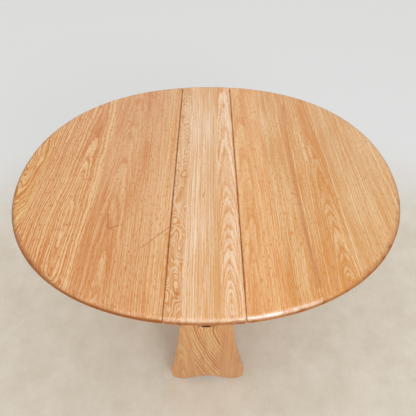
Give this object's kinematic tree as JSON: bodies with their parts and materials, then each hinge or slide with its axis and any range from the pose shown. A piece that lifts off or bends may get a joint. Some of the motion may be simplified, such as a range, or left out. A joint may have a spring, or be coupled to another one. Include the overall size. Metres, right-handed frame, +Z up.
{
  "type": "gateleg dining table",
  "caption": "Oval wooden drop-leaf dining table: a narrow centre board on waisted slab ends, hinged half-oval leaves that drop, and gate legs that swing out to hold them up.",
  "frame": {"origin": "on the floor, under the middle of the oval top", "axes": "+Z up, +X to the right across the leaves, +Y along the seams away from the viewer"},
  "size_m": [1.22, 1.077, 0.72],
  "materials": {
    "centre_wood": "satin lacquer",
    "leaf_wood": "satin lacquer",
    "slab_wood": "satin lacquer",
    "stained_rail": "dark stain, satin",
    "frame_wood": "satin lacquer",
    "dowel_wood": "plain",
    "hinge_metal": "dull brassed",
    "steel": "zinc plated",
    "nylon": "matt",
    "felt": "pressed felt"
  },
  "bodies": {
    "base": {"centre_board": "centre_wood", "front_slab": "slab_wood", "rear_slab": "slab_wood", "spine_rail": "stained_rail", "low_stretcher": "frame_wood", "front_bearer": "frame_wood", "front_pivot_block": "frame_wood", "rear_bearer": "frame_wood", "rear_pivot_block": "frame_wood", "bearer_screws": "steel", "spine_dowels": "dowel_wood", "stretcher_dowels": "dowel_wood", "slab_felt_pads": "felt", "left_hinge_board_plates": "hinge_metal", "left_hinge_board_screws": "steel", "left_hinge_pins": "steel", "right_hinge_board_plates": "hinge_metal", "right_hinge_board_screws": "steel", "right_hinge_pins": "steel"},
    "left_leaf": {"left_leaf": "leaf_wood", "left_hinge_leaf_plates": "hinge_metal", "left_hinge_leaf_screws": "steel", "left_leaf_stop": "frame_wood"},
    "right_leaf": {"right_leaf": "leaf_wood", "right_hinge_leaf_plates": "hinge_metal", "right_hinge_leaf_screws": "steel", "right_leaf_stop": "frame_wood"},
    "left_gate": {"left_gate_stile": "frame_wood", "left_gate_leg": "frame_wood", "left_gate_lower_rail": "frame_wood", "left_gate_upper_rail": "frame_wood", "left_gate_pivot_pins": "steel", "left_gate_washers": "nylon", "left_gate_dowels": "dowel_wood", "left_gate_glide": "nylon", "left_gate_leg_pad": "felt"},
    "right_gate": {"right_gate_stile": "frame_wood", "right_gate_leg": "frame_wood", "right_gate_lower_rail": "frame_wood", "right_gate_upper_rail": "frame_wood", "right_gate_pivot_pins": "steel", "right_gate_washers": "nylon", "right_gate_dowels": "dowel_wood", "right_gate_glide": "nylon", "right_gate_leg_pad": "felt"}
  },
  "joints": [
    {"name": "left_leaf_drop", "type": "hinge", "parent": "base", "child": "left_leaf", "pos_m": [-0.099, 0, 0.6938], "axis": [0, 1, 0], "range_deg": [-90, 0]},
    {"name": "right_leaf_drop", "type": "hinge", "parent": "base", "child": "right_leaf", "pos_m": [0.099, 0, 0.6938], "axis": [0, -1, 0], "range_deg": [-90, 0]},
    {"name": "left_gate_swing", "type": "hinge", "parent": "base", "child": "left_gate", "pos_m": [-0.045, -0.348, 0.38], "axis": [0, 0, 1], "range_deg": [0, 55]},
    {"name": "right_gate_swing", "type": "hinge", "parent": "base", "child": "right_gate", "pos_m": [0.045, 0.348, 0.38], "axis": [0, 0, 1], "range_deg": [0, 55]}
  ]
}
